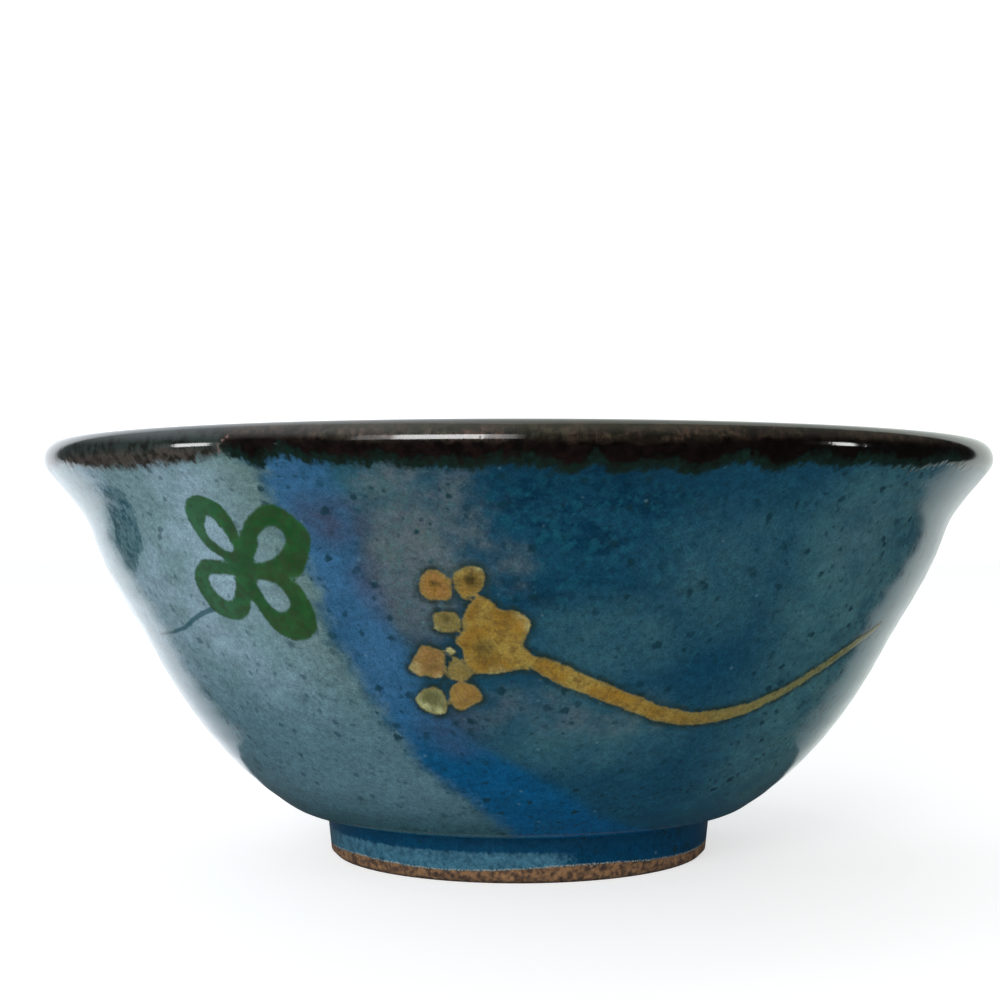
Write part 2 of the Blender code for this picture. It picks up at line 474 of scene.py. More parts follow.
def patches(wall, spots):
    """Several soft patches, each as (place, half sizes, lean, softness, strength)."""
    total = wall.everywhere(0.0)
    for place, (half_width, half_height), lean, softness, strength in spots:
        x, y = wall.local(place)
        turn = math.radians(lean)
        along = x * math.sin(turn) + y * math.cos(turn)
        across = x * math.cos(turn) - y * math.sin(turn)
        reach = np.hypot(across / half_width, along / half_height)
        patch = smooth(1 + softness / 2, 1 - softness / 2, reach)
        total = np.maximum(total, strength * patch)
    return total


# Soft clouds in the glaze as place, half sizes, lean, softness, strength
BROWN_SPOTS = (
    ((-11, 30), (13, 13), 0, 1.2, 0.55),
    ((-12, 19), (9, 12), 0, 1, 1),
    ((-5, 22), (11, 8), 0, 1.2, 0.35),
    ((9, -8), (24, 6), 5, 1.2, 0.3),
    ((-150, 20), (26, 22), 20, 1.2, 0.7),
    ((120, 25), (22, 25), -10, 1.2, 0.6),
)
VIOLET_SPOTS = (
    ((-20, 30), (7, 5), 10, 1, 1),
    ((-16.6, 18), (3.5, 7), -14, 1.2, 0.8),
    ((-11, 12), (6, 9), 0, 1.2, 0.4),
    ((-9, -12), (6, 6), 10, 1.2, 0.7),
    ((2, -9), (12, 4), 10, 1.2, 0.35),
    ((44, 26), (9, 9), 0, 1.2, 0.25),
    ((160, 26), (10, 9), 0, 1.2, 0.7),
)
TEAL_SPOTS = (
    ((6, 28), (20, 18), -12, 1.3, 1),
    ((15, 21), (21, 19), -6, 1.2, 0.7),
    ((26, 6), (22, 24), 0, 1.4, 0.4),
    ((100, 12), (30, 26), 0, 1.4, 0.8),
    ((-95, -6), (24, 18), 15, 1.4, 0.4),
)
GREY_SPOTS = (
    ((46, 18), (18, 26), 0, 1.3, 0.85),
    ((54, -14), (22, 24), 0, 1.4, 0.8),
    ((8, -13), (18, 8), 6, 1.4, 0.5),
    ((24, 20), (13, 12), -10, 1.3, 0.35),
    ((11, 7), (13, 8), 0, 1.3, 0.4),
    ((-16, 36), (8, 6), 0, 1.2, 0.4),
    ((150, -10), (40, 26), 0, 1.4, 0.7),
)
# Dark teal patches near the sides, each as its place and a loop round it
TEAL_PATCHES = (
    ((-55, 28), ((-0.2, 8.7), (5.7, 9.5), (8.4, 5.7), (5.6, -3.1), (1, -6.4), (-4.4, -7.9),
                 (-7.4, -3.6), (-4, 3))),
    ((56, 31), ((-5.9, 3), (1, 3.2), (5, -0.8), (1.2, -3.3), (-3.5, -0.5))),
)


def teal_patches(wall):
    best = wall.everywhere(-LOOP_REACH)
    for place, knots in TEAL_PATCHES:
        x, y = wall.local(place)
        best = np.maximum(best, loop(knots, x, y))
    return best


# The lip's dark glaze: how far down it comes, all the way round
RIM_EDGE = (
    (-180, 41.5), (-150, 42.6), (-120, 41.6), (-95, 43.4), (-76, 42.6), (-60.8, 43.7), (-54.6, 42.5),
    (-49.9, 41.7), (-43.1, 41.5), (-38, 42), (-34.8, 42.4), (-31.6, 43.3), (-30.1, 44.6), (-29.5, 43.8),
    (-27.7, 42.8), (-26.2, 40.7), (-24.7, 43.3), (-22.9, 43.7), (-20.8, 42.1), (-17.5, 41.8),
    (-14.6, 41.2), (-13, 42), (-10, 40.5), (-8.2, 41.2), (-4.8, 40.5), (-1.7, 41.5), (2.3, 41.3),
    (5.4, 39.6), (7.3, 41.7), (9.3, 39.6), (11.6, 40.5), (15.1, 40.9), (17.2, 39.3), (19.7, 41.1),
    (21.3, 42.3), (23.4, 41.9), (26.5, 39.8), (28.4, 41.7), (30.8, 42.5), (34.4, 41.6), (37.5, 42.8),
    (41.9, 42.3), (46, 42), (52.7, 44.2), (56.8, 43), (64, 43.6), (80, 42), (104, 43.4), (130, 41.2),
    (156, 42.8), (180, 41.5),
)
# The pale seam where two dips of the lip glaze meet, and the line over which the lip glaze thins
RIM_SEAM = ((-28.8, 47.4, 0.12), (-29.6, 46.2, 0.16), (-30.3, 45.4, 0.12), (-30.2, 44, 0.3))
SEAM_ANGLE = -29.6
TOP_LINE = 45.3
TOP_LINE_RISE = 1.2
RIM_INSIDE_REACH = 9.0


def rim_glaze(wall):
    """Millimetres above the lip glaze's lower edge, and the same down the inside."""
    outside = wall.climb - np.interp(wall.angle, *zip(*RIM_EDGE))
    inside_edge = wall.climb[wall.lip_row, 0] + RIM_INSIDE_REACH
    sway = 2 * np.sin(np.radians(wall.angle * 3 + 40)) + 1.2 * np.sin(np.radians(wall.angle * 7))
    inside = inside_edge + sway - wall.climb
    return np.where(wall.outside > 0.5, outside, inside)


# Where the glaze ends on the foot, and how far inside the ring it begins again
CLAY_EDGE_HEIGHT = 2.75
CLAY_EDGE_SWAY = 0.35
RECESS_CLAY = 2.0


def bare_clay(wall):
    """Millimetres below the glaze's edge on the foot; the ring's flat underside is bare too."""
    sway = CLAY_EDGE_SWAY * (np.sin(np.radians(wall.angle * 2 + 30)) + np.sin(np.radians(wall.angle * 5)))
    below = CLAY_EDGE_HEIGHT + sway - wall.height
    rows = np.arange(len(wall.points))[:, None]
    recess = FOOT_RADIUS - FOOT_TAPER - FOOT_BEVEL - FOOT_LAND - RECESS_CLAY
    low_outside = np.where(rows >= wall.lip_row, below, -LOOP_REACH)
    in_recess = (rows > wall.under_row) & (wall.radius < recess + RECESS_CLAY / 2)
    return np.where(in_recess, wall.radius - recess, low_outside)


def surface(wall):
    """The mesh's points: the solid's own section, a little uneven from the potter's hand."""
    radius = wall.everywhere(wall.radius)
    height = wall.everywhere(wall.height)
    turn = np.radians(wall.angle)
    tangent = np.gradient(wall.points, axis=0)
    tangent /= np.maximum(np.hypot(*tangent.T), 1e-9)[:, None]
    normal = np.stack([-tangent[:, 1], tangent[:, 0]], axis=1)
    wave = 0.5 - 0.5 * np.sin(wall.climb / RING_SPACING * 2 * math.pi + turn)
    slow = 0.5 - 0.5 * np.sin(wall.climb / WOBBLE_LENGTH + 2 * turn + 1)
    body = smooth(-50, -38, wall.climb) * smooth(45, 38, wall.climb) * wall.outside
    inner = (1 - wall.outside) * smooth(20, 50, wall.radius) * smooth(94, 88, wall.radius)
    depth = (RING_DEPTH * wave + WOBBLE_DEPTH * slow) * body + RING_DEPTH * wave * inner
    radius = radius - normal[:, 0][:, None] * depth
    height = height - normal[:, 1][:, None] * depth
    x = radius * np.sin(turn)
    y = -radius * np.cos(turn)
    return np.stack([x, y, height + 0 * x], axis=2)


def make_mesh(wall, maps):
    """One closed mesh: the grid without its first and last rows, which are single points."""
    grid = surface(wall)
    rows, count = grid.shape[:2]
    body = grid[1:-1].reshape(-1, 3)
    poles = np.array([grid[0, 0], grid[-1, 0]])
    poles[:, :2] = 0
    verts = np.concatenate([body, poles]) * MM
    first_pole = len(body)
    last_row = first_pole - count
    faces = []
    for a in range(0, last_row, count):
        b = a + count
        for col in range(count):
            nxt = (col + 1) % count
            faces.append((a + col, b + col, b + nxt, a + nxt))
    for col in range(count):
        nxt = (col + 1) % count
        faces.append((first_pole, col, nxt))
        faces.append((first_pole + 1, last_row + nxt, last_row + col))
    mesh = bpy.data.meshes.new("glazed_bowl")
    mesh.from_pydata(verts.tolist(), [], faces)
    for name, values in maps.items():
        layer = mesh.attributes.new(name, "FLOAT", "POINT")
        values = wall.everywhere(values)
        flat = np.concatenate([values[1:-1].ravel(), [values[0].mean(), values[-1].mean()]])
        layer.data.foreach_set("value", flat.astype(np.float32))
    unwrap(mesh, wall, rows)
    mesh.polygons.foreach_set("use_smooth", np.ones(len(mesh.polygons), dtype=bool))
    mesh.update()
    return mesh


# Where each part of the surface lies in the square of its UV map
UV_BACK = (0.435, 0.675)
UV_FRONT = (0.005, 0.425)
UV_INSIDE = (0.685, 0.935)
UV_UNDER = (0.945, 0.995)
UV_WIDTH = 0.98


def unwrap(mesh, wall, rows):
    """Strips that don't overlap: the outside's front half, its back half, the inside, the underside."""
    angles = wall.angle[0]
    last_front = angles[np.abs(angles) < 90].max()
    heights = {}
    for zone, first, last, (low, high) in (
        ("inside", 0, wall.lip_row, UV_INSIDE),
        ("under", wall.under_row, rows - 1, UV_UNDER),
        ("front", wall.lip_row, wall.under_row, UV_FRONT[::-1]),
        ("back", wall.lip_row, wall.under_row, UV_BACK[::-1]),
    ):
        heights[zone] = np.interp(wall.length, wall.length[[first, last]], (low, high))

    def corner(row, angle, zone):
        share = angle / 360
        if zone == "front":
            share = angle / 180
        elif zone == "back":
            share = ((angle % 360) - 180) / 180
        return (0.5 + UV_WIDTH * share, heights[zone][row])

    def zone_of(row, angle):
        if row < wall.lip_row:
            return "inside"
        if row >= wall.under_row:
            return "under"
        return "front" if abs(angle) < 90 and angle < last_front else "back"

    steps = (np.roll(angles, -1) - angles) % 360
    spans = list(zip(angles.tolist(), (angles + steps).tolist()))
    coords = []
    for row in range(1, rows - 2):
        for start, end in spans:
            zone = zone_of(row, start)
            for r, angle in ((row, start), (row + 1, start), (row + 1, end), (row, end)):
                coords.append(corner(r, angle, zone))
    for start, end in spans:
        middle = (start + end) / 2
        for r, angle in ((0, middle), (1, start), (1, end)):
            coords.append(corner(r, angle, "inside"))
        for r, angle in ((rows - 1, middle), (rows - 2, end), (rows - 2, start)):
            coords.append(corner(r, angle, "under"))
    uv = mesh.uv_layers.new(name="OFBake")
    uv.data.foreach_set("uv", np.array(coords, dtype=np.float32).ravel())


class Nodes:
    """Small helpers that make a material's nodes."""

    def __init__(self, tree):
        self.tree = tree

    def new(self, kind, feeds=None, **settings):
        """A node with these settings and with these values or sockets fed to its inputs."""
        node = self.tree.nodes.new(kind)
        for name, value in settings.items():
            setattr(node, name, value)
        for name, value in (feeds or {}).items():
            self.feed(node.inputs[name], value)
        return node

    def feed(self, socket, value):
        if isinstance(value, bpy.types.NodeSocket):
            self.tree.links.new(value, socket)
        elif isinstance(value, tuple) and len(value) == 3 and socket.type == "RGBA":
            socket.default_value = (*value, 1)
        else:
            socket.default_value = value

    def math(self, operation, a, b=0, clamp=False):
        settings = {"operation": operation, "use_clamp": clamp}
        return self.new("ShaderNodeMath", {0: a, 1: b}, **settings).outputs[0]

    def add(self, total, *others):
        for other in others:
            total = self.math("ADD", total, other)
        return total

    def times(self, product, *others):
        for other in others:
            product = self.math("MULTIPLY", product, other)
        return product

    def sway(self, noise, amount):
        """A noise made to swing this far, half to either side of nought."""
        return self.times(self.add(noise, -0.5), amount)

    def map(self, name):
        """One of the maps that the mesh carries."""
        return self.new("ShaderNodeAttribute", attribute_name=name).outputs["Fac"]

    def vector(self, operation, a, b):
        return self.new("ShaderNodeVectorMath", {0: a, 1: b}, operation=operation).outputs[0]

    def ramp(self, value, low, high, start=0, end=1):
        feeds = {"Value": value, "From Min": low, "From Max": high, "To Min": start, "To Max": end}
        node = self.new("ShaderNodeMapRange", feeds, interpolation_type="SMOOTHSTEP")
        return node.outputs["Result"]

    def mix(self, amount, a, b, blend="MIX"):
        settings = {"data_type": "RGBA", "blend_type": blend}
        return self.new("ShaderNodeMix", {"Factor": amount, 6: a, 7: b}, **settings).outputs[2]

    def layered(self, colour, *layers):
        """The colour under these layers, each as an amount and a colour."""
        for amount, layer in layers:
            colour = self.mix(amount, colour, layer)
        return colour

    def mix_values(self, amount, a, b):
        feeds = {"Factor": amount, 2: a, 3: b}
        return self.new("ShaderNodeMix", feeds, data_type="FLOAT").outputs[0]

    def noise(self, place, size, detail=3, roughness=0.58, seed=0):
        """Noise whose features are about this many millimetres across, centred on 0.5."""
        feeds = {
            "Vector": place,
            "W": seed,
            "Scale": 1 / size,
            "Detail": detail,
            "Roughness": roughness,
        }
        return self.new("ShaderNodeTexNoise", feeds, noise_dimensions="4D").outputs["Fac"]

    def cells(self, place, size, shift=0):
        """Distance from the nearest of many scattered points, and a random number for each."""
        moved = self.vector("ADD", place, (shift, -shift, shift))
        feeds = {"Vector": moved, "Scale": 1 / size}
        node = self.new("ShaderNodeTexVoronoi", feeds, feature="F1")
        random = self.new("ShaderNodeSeparateColor", {0: node.outputs["Color"]})
        return node.outputs["Distance"], random.outputs[0]


def rgb(*values):
    """A colour seen as these 0 to 255 screen values, as the linear colour a shader wants."""
    shares = [value / 255 for value in values]
    return tuple(v / 12.92 if v <= 0.04045 else ((v + 0.055) / 1.055) ** 2.4 for v in shares)


# Glaze colours
PALE_GLAZE = rgb(109, 132, 143)
PALE_GREEN = rgb(90, 115, 120)
PALE_NEAR = rgb(79, 102, 102)
# The pale glaze darker toward the bottom: partly pooled glaze, partly painted shade under the belly
PALE_LOW_POOL_AND_SHADE = rgb(64, 92, 102)
PALE_FOOT_POOL_AND_SHADE = rgb(34, 65, 74)
BLUE_GLAZE = rgb(18, 57, 74)
TEAL_GLAZE = rgb(14, 54, 74)
GREEN_TEAL = rgb(15, 68, 82)
DEEP_TEAL = rgb(3, 35, 53)
GREY_GLAZE = rgb(56, 93, 98)
COBALT = rgb(42, 81, 112)
COBALT_LOW = rgb(0, 62, 98)
BROWN_GLAZE = rgb(66, 80, 83)
VIOLET_GLAZE = rgb(46, 57, 76)
MAUVE_GLAZE = rgb(76, 84, 94)
# The foot's dark glaze: partly thick glaze, partly painted shade under the belly
FOOT_POOL_AND_SHADE = rgb(0, 48, 74)
FOOT_BAND = rgb(48, 88, 106)
SPECK = rgb(10, 40, 50)
LIGHT_DOT = rgb(92, 122, 128)
GLAZE_RIME = rgb(136, 142, 134)
RIM_DARK = rgb(4, 3, 3)
RIM_PLUM = rgb(20, 13, 11)
RIM_GREEN = rgb(15, 32, 27)
# The lip's top strip colours: partly the glaze's own brown, partly a painted reflection of the bright
# room on the lip's upward face
RIM_OLIVE = rgb(58, 58, 46)
RIM_PINK = rgb(78, 62, 54)
RIM_RED = rgb(54, 42, 31)
RIM_SHADE = rgb(15, 14, 10)
THIN_GREEN = rgb(38, 46, 44)
THIN_BROWN = rgb(58, 54, 50)
SEAM = rgb(128, 104, 96)
CLAY = rgb(58, 40, 27)
CLAY_PALE = rgb(110, 80, 50)
CLAY_DOT = rgb(190, 172, 148)
GREEN = rgb(18, 57, 20)
GREEN_BRIGHT = rgb(26, 74, 28)
GREEN_THIN = rgb(38, 78, 50)
GREEN_BROWN = rgb(36, 48, 22)
GOLD = rgb(124, 94, 30)
GOLD_LIGHT = rgb(134, 114, 48)
GOLD_DARK = rgb(66, 46, 20)
GOLD_GRIT = rgb(96, 74, 28)
GOLD_EDGE = rgb(24, 38, 34)
GOLD_RED = rgb(122, 88, 50)
OLIVE = rgb(92, 94, 60)
GOLD_PALE = rgb(146, 148, 104)
CORE = rgb(44, 38, 14)
TEAL_PAINT = rgb(28, 66, 75)


class Grounds:
    """The textures that all the glazes share; their sizes are in millimetres."""

    def __init__(self, n):
        position = n.new("ShaderNodeTexCoord").outputs["Object"]
        self.place = n.vector("MULTIPLY", position, (1 / MM, 1 / MM, 1 / MM))
        level = n.vector("MULTIPLY", self.place, (1, 1, 3.2))
        upright = n.vector("MULTIPLY", self.place, (1, 1, 0.3))
        self.broad = n.noise(self.place, 16, seed=1)
        self.patchy = n.noise(self.place, 5, detail=4, seed=2)
        self.fine = n.noise(self.place, 1.1, seed=3)
        self.grain = n.noise(self.place, 0.36, detail=2, seed=4)
        self.band = n.noise(level, 7, seed=5)
        self.runs = n.noise(upright, 1.7, seed=6)
        self.ragged = n.noise(self.place, 1.6, seed=7)
        self.streaks = n.noise(upright, 1.1, seed=8)
        shade = n.times(
            n.ramp(self.grain, 0.25, 0.75, 0.78, 1.22),
            n.ramp(self.fine, 0.25, 0.75, 0.82, 1.18),
            n.ramp(self.band, 0.3, 0.7, 0.9, 1.1),
        )
        self.shade = n.new("ShaderNodeCombineColor", {0: shade, 1: shade, 2: shade}).outputs[0]
        self.sharp = n.sway(self.ragged, 0.7)
        self.rough_edge = n.add(self.sharp, n.sway(self.fine, 0.9))


def body_glaze(n, g):
    """The blue glaze with its clouds, the cobalt run and the pale dip."""
    flecks = n.times(n.ramp(g.patchy, 0.5, 0.66), n.ramp(g.fine, 0.3, 0.7, 0.2, 0.6))
    teal = n.ramp(n.add(n.map("teal"), n.sway(g.patchy, 1.3), n.sway(g.broad, 0.6)), 0, 1)
    brown = n.ramp(n.add(n.map("brown"), n.sway(g.patchy, 1.5), n.sway(g.broad, 0.5)), 0, 1)
    brown = n.times(brown, n.ramp(n.map("brown"), 0, 0.35))
    mauve = n.times(brown, n.ramp(g.ragged, 0.46, 0.62), n.ramp(g.broad, 0.4, 0.6, 0.25, 0.8))
    cobalt = n.mix(n.map("deep"), COBALT, COBALT_LOW)
    colour = n.layered(
        BLUE_GLAZE,
        (n.ramp(g.broad, 0.35, 0.65), TEAL_GLAZE),
        (flecks, GREEN_TEAL),
        (teal, TEAL_GLAZE),
        (n.times(teal, n.ramp(g.band, 0.4, 0.62, 0, 0.92)), DEEP_TEAL),
        (n.times(teal, n.ramp(g.ragged, 0.48, 0.64, 0, 0.55)), GREEN_TEAL),
        (n.times(n.map("grey"), n.ramp(g.patchy, 0.3, 0.62, 0.5, 1)), GREY_GLAZE),
        (n.times(teal, n.ramp(n.map("rim"), -10, -1, 0, 0.5)), DEEP_TEAL),
        (brown, BROWN_GLAZE),
        (mauve, MAUVE_GLAZE),
        (n.times(brown, n.ramp(g.ragged, 0.46, 0.34, 0, 0.45)), GREY_GLAZE),
        (n.times(n.map("cobalt"), n.ramp(g.patchy, 0.3, 0.6, 0.6, 0.95)), cobalt),
        (n.times(n.map("violet"), n.ramp(g.patchy, 0.35, 0.6, 0.4, 0.9)), VIOLET_GLAZE),
    )
    pale = n.mix(n.ramp(g.broad, 0.4, 0.6, 0, 0.9), PALE_GLAZE, PALE_GREEN)
    pale = n.mix(n.ramp(n.add(n.map("dip"), n.sway(g.broad, 14)), 17, 0), pale, PALE_NEAR)
    # Darker toward the foot: partly pooled glaze, partly painted shade
    pale = n.layered(pale, (n.map("low"), PALE_LOW_POOL_AND_SHADE), (n.map("lowest"), PALE_FOOT_POOL_AND_SHADE))
    edge = n.add(n.map("dip"), n.sway(g.patchy, 9), n.sway(g.ragged, 4))
    return n.mix(n.ramp(edge, -3.4, 2.8), colour, pale)


def inside_glaze(n, g, colour):
    inside = n.mix(n.ramp(g.patchy, 0.3, 0.7), BLUE_GLAZE, TEAL_GLAZE)
    inside = n.mix(n.times(n.map("pool"), 0.8), inside, DEEP_TEAL)
    return n.mix(n.map("inside"), colour, inside)


def foot_glaze(n, g, colour):
    """Dark where the glaze lies thick under the belly, darkened further there by painted shade, light and
    speckled below.
    """
    light = n.ramp(n.add(n.map("band"), n.sway(g.fine, 0.7)), 0.2, 0.8)
    light = n.times(light, n.ramp(g.fine, 0.25, 0.6, 0.5, 1))
    return n.mix(n.map("foot"), colour, n.mix(light, FOOT_POOL_AND_SHADE, FOOT_BAND))


def dots(n, g, size, shift, least_lot, smallest, largest):
    """The distance outside scattered round dots, one in every cell whose lot is above the least."""
    distance, lot = n.cells(g.place, size, shift)
    radius = n.ramp(lot, least_lot, 1, smallest, largest)
    return n.add(n.math("SUBTRACT", distance, radius), n.sway(g.fine, 0.6))


def specks(n, g):
    """How strong the dark specks are: larger ones in clusters, and many small ones."""
    large = n.ramp(dots(n, g, 2.7, 0, 0.3, -0.05, 0.32), 0.1, -0.12, 0, 0.9)
    small = n.ramp(dots(n, g, 1.5, 31, 0.6, 0, 0.28), 0.16, -0.08, 0, 0.6)
    in_blue = n.ramp(n.map("dip"), 0, 4, 1, 0.6)
    clusters = n.times(n.ramp(g.patchy, 0.38, 0.6, 0.5, 1), in_blue)
    return n.times(n.math("MAXIMUM", large, small), clusters), small


def light_dots(n, g):
    distance, lot = n.cells(g.place, 3.4, 57)
    return n.times(n.ramp(distance, 0.15, 0.03), n.ramp(lot, 0.68, 0.8, 0, 0.3))


def teal_patch_colour(n, g, colour):
    edge = n.add(n.map("patch"), n.sway(g.runs, 5), n.sway(g.ragged, 5))
    amount = n.times(n.ramp(edge, -0.5, 0.3), n.ramp(g.ragged, 0.36, 0.6, 0.95, 0.5))
    return n.mix(amount, colour, TEAL_PAINT)


def inside_stroke(n, name):
    """Millimetres inside a long brush stroke."""
    return n.math("SUBTRACT", n.map(name + "_half"), n.math("ABSOLUTE", n.map(name + "_side")))


def green_paint(n, g, colour):
    """The leaf, thinner and bluer at its left, and its faint stem."""
    depth = n.add(n.map("green"), g.rough_edge)
    green = n.layered(
        GREEN,
        (n.ramp(g.patchy, 0.4, 0.65), GREEN_BRIGHT),
        (n.times(n.map("faded"), n.ramp(g.patchy, 0.3, 0.6, 0.5, 1)), GREEN_THIN),
        (n.times(n.ramp(g.broad, 0.45, 0.62), n.ramp(g.fine, 0.3, 0.7, 0.2, 0.8)), GREEN_BROWN),
        (n.ramp(depth, 0.9, 0, 0, 0.4), GREEN_THIN),
        (n.ramp(g.ragged, 0.42, 0.64, 0, 0.65), GREEN_BROWN),
    )
    amount = n.ramp(depth, -0.3, 0.3)
    stem = n.add(inside_stroke(n, "stem"), n.times(g.sharp, 0.4))
    colour = n.mix(n.ramp(stem, -0.2, 0.2, 0, 0.8), colour, TEAL_PAINT)
    return n.mix(n.times(amount, 0.95), colour, green), amount


def gold_paint(n, g, colour):
    """The spray: grainy ochre with dark outlines, cores, pale worn edges and a painted highlight."""
    depth = n.add(n.math("MAXIMUM", n.map("gold"), inside_stroke(n, "gold")), g.rough_edge)
    outline = n.times(n.ramp(depth, -1.6, -0.2), n.ramp(g.ragged, 0.4, 0.6, 0.5, 0.9))
    colour = n.mix(outline, colour, GOLD_EDGE)
    gold = n.layered(
        GOLD,
        (n.ramp(g.patchy, 0.4, 0.66), GOLD_LIGHT),
        (n.ramp(g.ragged, 0.46, 0.62, 0, 0.7), GOLD_GRIT),
        (n.ramp(g.fine, 0.45, 0.72, 0, 0.6), GOLD_DARK),
        (n.times(n.map("red"), n.ramp(g.fine, 0.3, 0.6, 0.4, 1)), GOLD_RED),
        (n.map("olive"), OLIVE),
        (n.ramp(depth, 0.9, 0, 0, 0.4), OLIVE),
        (n.times(n.map("pale"), n.ramp(g.fine, 0.3, 0.6, 0.3, 0.9)), GOLD_PALE),
        (n.math("MULTIPLY", n.map("core"), 0.85, clamp=True), CORE),
    )
    gold = n.mix(1, gold, g.shade, "MULTIPLY")
    amount = n.ramp(depth, -0.25, 0.25)
    return n.mix(amount, colour, gold), amount


def lip_glaze(n, g, colour):
    """The dark lip: worn and mottled brown on top and lighter there by a painted reflection of the bright
    room, near black below it, with green drips at its edge.
    """
    thin = n.map("thin")
    worn = n.map("worn")
    edge = n.add(n.map("rim"), n.sway(g.streaks, 3.6), n.sway(g.ragged, 2.2), n.sway(g.fine, 1.2))
    top = n.add(n.map("top"), n.sway(g.ragged, 2.4), n.sway(g.patchy, 2))
    amount = n.mix_values(thin, n.ramp(edge, -1.6, 0), n.ramp(edge, -1.2, 1))
    # The lighter top strip is partly the glaze's brown mottling and partly a painted reflection of the
    # bright room
    top_strip_brown_and_reflection = n.mix(n.ramp(g.patchy, 0.38, 0.6), RIM_OLIVE, RIM_PINK)
    top_strip_brown_and_reflection = n.layered(
        n.mix(worn, RIM_RED, top_strip_brown_and_reflection),
        (n.ramp(g.ragged, 0.42, 0.66, 0, 0.9), RIM_SHADE),
        (n.ramp(g.band, 0.45, 0.65, 0, 0.7), RIM_SHADE),
        (n.ramp(g.streaks, 0.44, 0.6, 0, 0.6), RIM_SHADE),
        (n.ramp(top, 1, 3, 0, 0.6), RIM_OLIVE),
    )
    plum = n.times(n.ramp(g.ragged, 0.36, 0.64, 0.15, 1), n.mix_values(worn, 0.15, 1))
    green = n.ramp(n.add(edge, n.sway(g.ragged, 3)), 2.2, 0.3)
    green = n.times(green, n.ramp(g.fine, 0.3, 0.7, 0.5, 1))
    dark = n.layered(RIM_DARK, (plum, RIM_PLUM), (green, RIM_GREEN))
    lip = n.mix(n.ramp(top, -0.8, 1), dark, top_strip_brown_and_reflection)
    thinned_lip = n.layered(
        THIN_BROWN,
        (n.ramp(n.add(top, n.sway(g.patchy, 3)), -2.6, -0.8), THIN_GREEN),
        (n.ramp(g.ragged, 0.42, 0.66, 0, 0.8), RIM_SHADE),
    )
    colour = n.mix(amount, colour, n.mix(thin, lip, thinned_lip))
    seam = n.ramp(n.add(n.map("seam"), n.times(g.sharp, 0.3)), -0.3, 0.15, 0, 0.75)
    return n.mix(seam, colour, SEAM), amount


def clay_edge(n, g, colour, small_specks):
    """Bare clay under the foot, with a pale rime where the glaze ends."""
    depth = n.add(n.map("clay"), n.times(g.rough_edge, 0.6))
    rime = n.times(n.ramp(depth, -0.45, -0.15), n.ramp(g.grain, 0.4, 0.6, 0, 0.8))
    colour = n.mix(rime, colour, GLAZE_RIME)
    clay = n.layered(
        CLAY,
        (n.ramp(g.fine, 0.36, 0.64), CLAY_PALE),
        (n.times(small_specks, 0.6), RIM_DARK),
        (light_dots(n, g), CLAY_DOT),
        (n.times(n.map("worn_foot"), 0.7), RIM_DARK),
    )
    clay = n.mix(1, clay, g.shade, "MULTIPLY")
    amount = n.ramp(depth, -0.12, 0.12)
    return n.mix(amount, colour, clay), amount


def new_material(name):
    """A material and its shader."""
    material = bpy.data.materials.new(name)
    material.use_nodes = True
    return material, material.node_tree.nodes["Principled BSDF"]


GLAZE_IOR = 1.5
BUMP_STRENGTH = 0.6
# How high each coat and texture stands, in millimetres
PATCHY_RELIEF = 0.012
FINE_RELIEF = 0.006
SPECK_RELIEF = -0.02
LIP_RELIEF = 0.1
GOLD_RELIEF = 0.06
GREEN_RELIEF = 0.03
GRAIN_RELIEF = 0.1
CLAY_RELIEF = -0.2


def bowl_material():
    material, shader = new_material("dipped_blue_glaze")
    n = Nodes(material.node_tree)
    g = Grounds(n)
    colour = body_glaze(n, g)
    colour = inside_glaze(n, g, colour)
    colour = foot_glaze(n, g, colour)
    colour = n.mix(1, colour, g.shade, "MULTIPLY")
    colour = teal_patch_colour(n, g, colour)
    speck_amount, small_specks = specks(n, g)
    colour = n.layered(colour, (speck_amount, SPECK), (light_dots(n, g), LIGHT_DOT))
    colour, green_amount = green_paint(n, g, colour)
    colour, gold_amount = gold_paint(n, g, colour)
    colour, lip_amount = lip_glaze(n, g, colour)
    colour, clay_amount = clay_edge(n, g, colour, small_specks)
    n.feed(shader.inputs["Base Color"], colour)

    rough = n.add(n.ramp(g.patchy, 0.3, 0.7, 0.1, 0.17), n.ramp(g.fine, 0.3, 0.7, -0.02, 0.03))
    rough = n.add(rough, n.times(gold_amount, 0.12))
    rough = n.mix_values(lip_amount, rough, n.ramp(g.runs, 0.3, 0.7, 0.07, 0.12))
    rough = n.math("MAXIMUM", rough, n.times(clay_amount, 0.85))
    n.feed(shader.inputs["Roughness"], rough)
    shader.inputs["Metallic"].default_value = 0
    shader.inputs["IOR"].default_value = GLAZE_IOR

    relief = n.add(
        n.times(g.patchy, PATCHY_RELIEF),
        n.times(g.fine, FINE_RELIEF),
        n.times(speck_amount, SPECK_RELIEF),
        n.times(lip_amount, LIP_RELIEF),
        n.times(gold_amount, GOLD_RELIEF),
        n.times(green_amount, GREEN_RELIEF),
        n.times(clay_amount, g.grain, GRAIN_RELIEF),
        n.times(clay_amount, CLAY_RELIEF),
    )
    bump_feeds = {"Strength": BUMP_STRENGTH, "Distance": MM, "Height": relief}
    bump = n.new("ShaderNodeBump", bump_feeds)
    n.feed(shader.inputs["Normal"], bump.outputs[0])
    return material


# How worn and brown the top of the lip is, round the bowl
LIP_WEAR = (
    (-180, 0.5), (-60, 0.2), (-30, 0.35), (-24, 0.75), (-10, 1), (0, 0.9), (12, 0.55), (25, 0.35),
    (40, 0.1), (60, 0.05), (120, 0.6), (180, 0.5),
)


